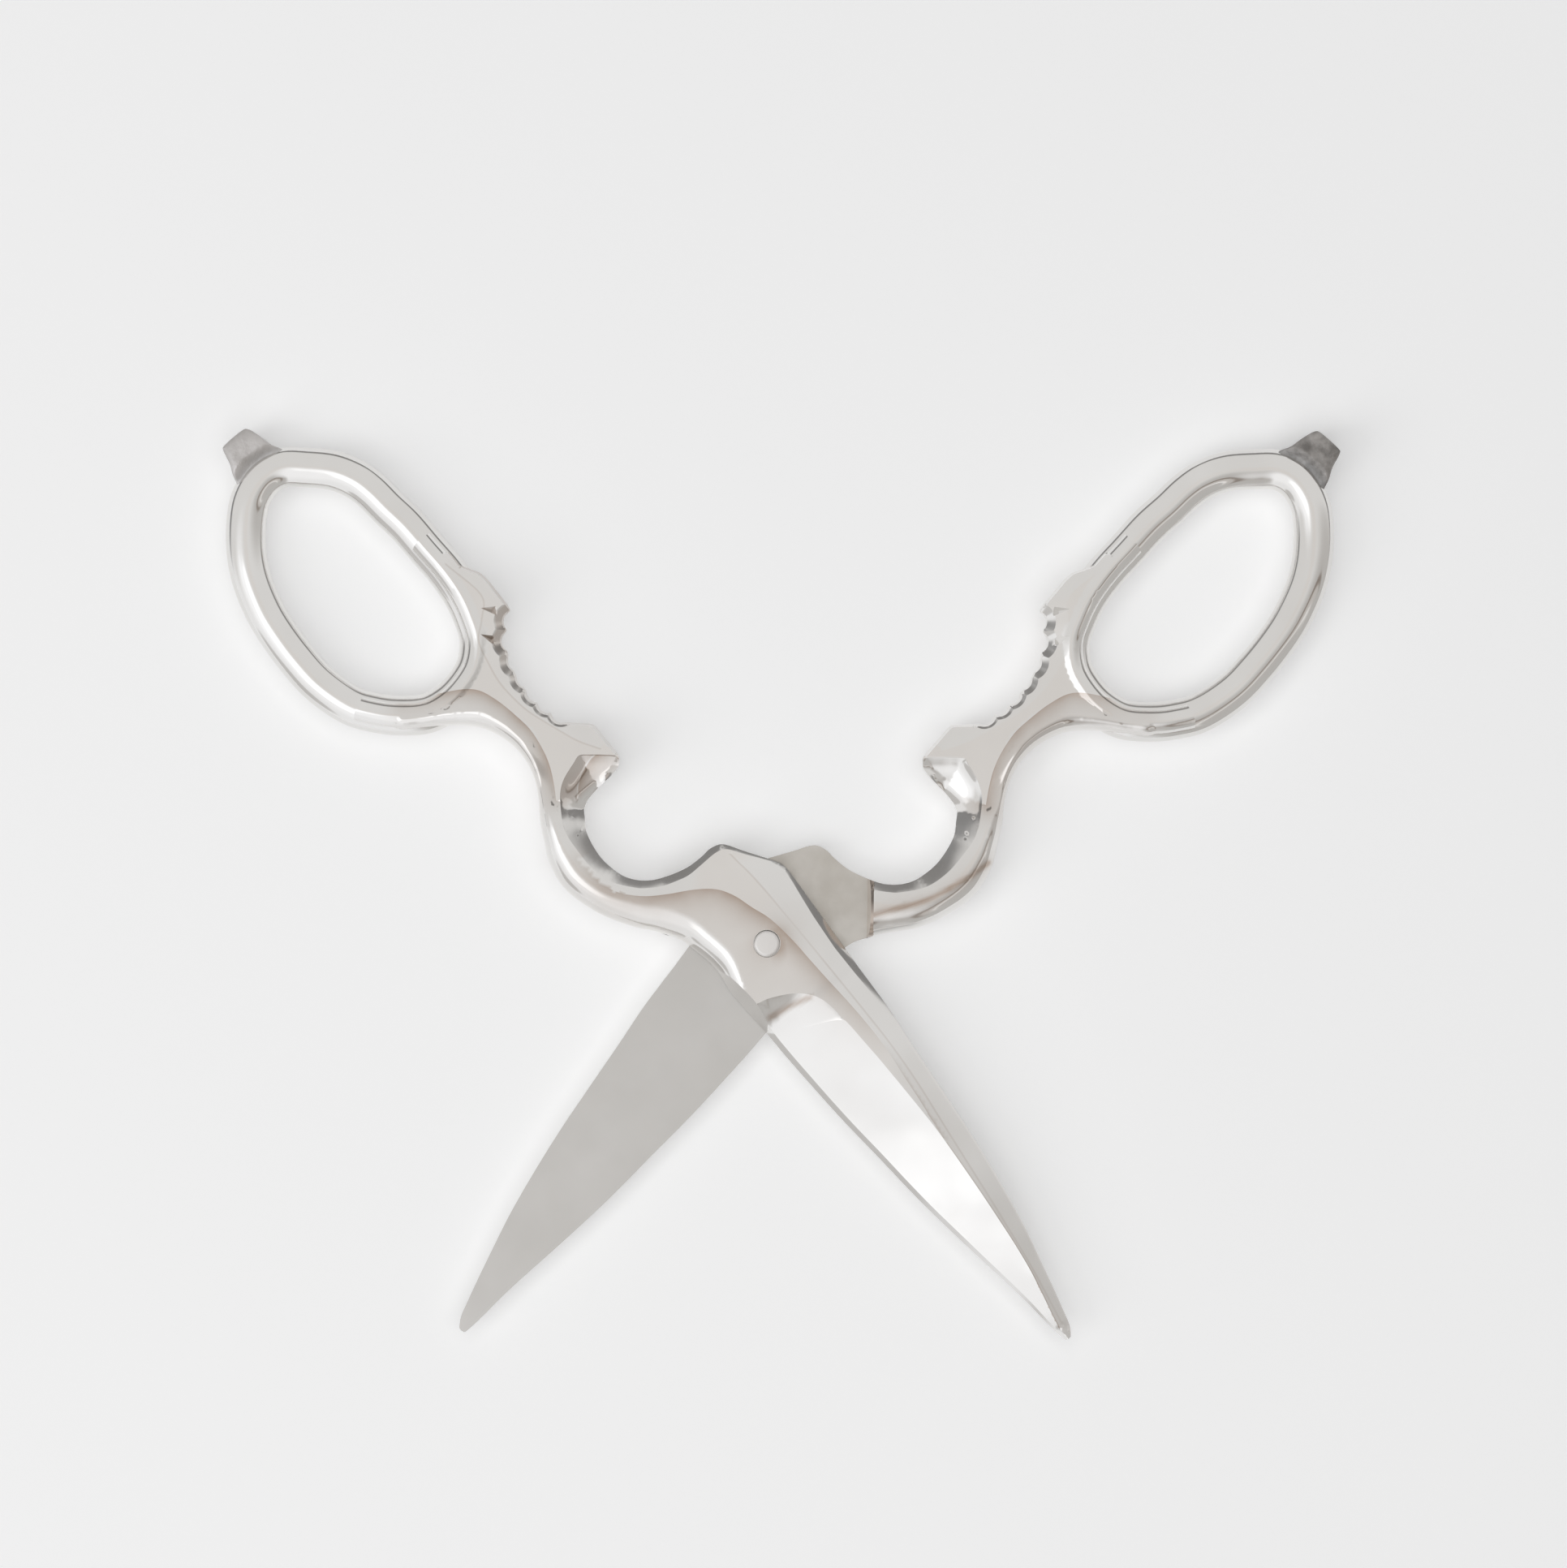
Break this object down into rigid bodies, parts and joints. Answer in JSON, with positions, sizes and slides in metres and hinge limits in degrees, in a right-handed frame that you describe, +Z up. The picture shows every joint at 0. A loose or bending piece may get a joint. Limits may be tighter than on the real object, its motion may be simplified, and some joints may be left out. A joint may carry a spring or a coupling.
{
  "type": "kitchen scissors",
  "caption": "All-metal forged kitchen scissors with closed oval finger bows, toothed bays and opener hooks on the handles, and pointed blades turning on a plain rivet.",
  "frame": {"origin": "on the pivot axis, on the flat underside of the joint that the scissors rest on", "axes": "+Z up along the pivot axis, +Y along the line of symmetry from the pivot towards the finger bows, +X to the right seen from above"},
  "size_m": [0.1884, 0.1548, 0.0098],
  "materials": {
    "upper_half_steel": "mirror-polished forged stainless steel, flat ground inside",
    "lower_half_steel": "mirror-polished forged stainless steel, matt ground on the inner face",
    "rivet_steel": "polished stainless steel with a bevelled head"
  },
  "bodies": {
    "lower": {"lower_half": "lower_half_steel", "pivot_rivet": "rivet_steel"},
    "upper": {"upper_half": "upper_half_steel"}
  },
  "joints": [
    {"name": "pivot", "type": "hinge", "parent": "lower", "child": "upper", "pos_m": [0, 0, 0], "axis": [0, 0, 1], "range_deg": [-76.2, 17.5]}
  ]
}
